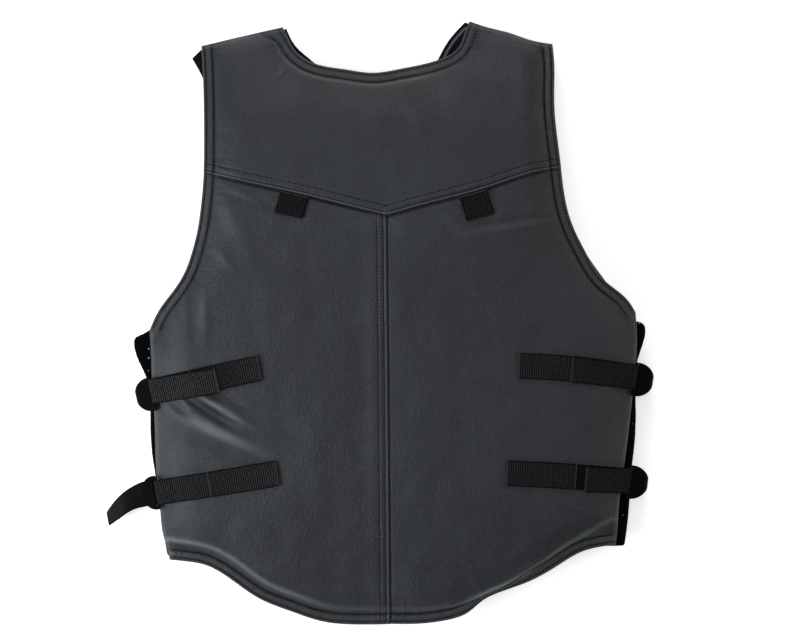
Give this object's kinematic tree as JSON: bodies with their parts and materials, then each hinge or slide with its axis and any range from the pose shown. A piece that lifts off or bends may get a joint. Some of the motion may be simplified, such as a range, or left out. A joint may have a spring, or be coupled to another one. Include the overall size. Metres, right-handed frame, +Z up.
{
  "type": "bull riding vest",
  "caption": "Padded leather riding vest lying face down: pointed back yoke, lapped centre seam, side gussets and webbing side straps through slotted leather tabs.",
  "frame": {"origin": "centre of the bounding box's bottom, on the surface that the front of the vest rests on", "axes": "+Y from the hem to the neck, +Z up out of the back of the vest, +X to the wearer's right side"},
  "size_m": [0.5576, 0.6089, 0.0642],
  "materials": {
    "leather": "soft black grain leather with a low satin sheen",
    "webbing": "ribbed black woven webbing, matt",
    "gusset_fabric": "very dark brushed loop fabric, matt",
    "tab_leather": "smooth black leather, semi-matt",
    "closure_fabric": "plain black woven fabric, matt"
  },
  "bodies": {
    "root": {"back_left_panel": "leather", "back_right_panel": "leather", "back_yoke": "leather", "front_left_panel": "leather", "front_right_panel": "leather", "front_closure": "closure_fabric", "side_gusset_left": "gusset_fabric", "side_gusset_right": "gusset_fabric", "yoke_loop_left": "webbing", "yoke_loop_right": "webbing", "strap_patch_upper_left": "webbing", "strap_patch_lower_left": "webbing", "strap_patch_upper_right": "webbing", "strap_patch_lower_right": "webbing", "strap_upper_left": "webbing", "strap_lower_left": "webbing", "strap_upper_right": "webbing", "strap_lower_right": "webbing", "tab_upper_left": "tab_leather", "tab_lower_left": "tab_leather", "tab_upper_right": "tab_leather", "tab_lower_right": "tab_leather"}
  },
  "joints": []
}
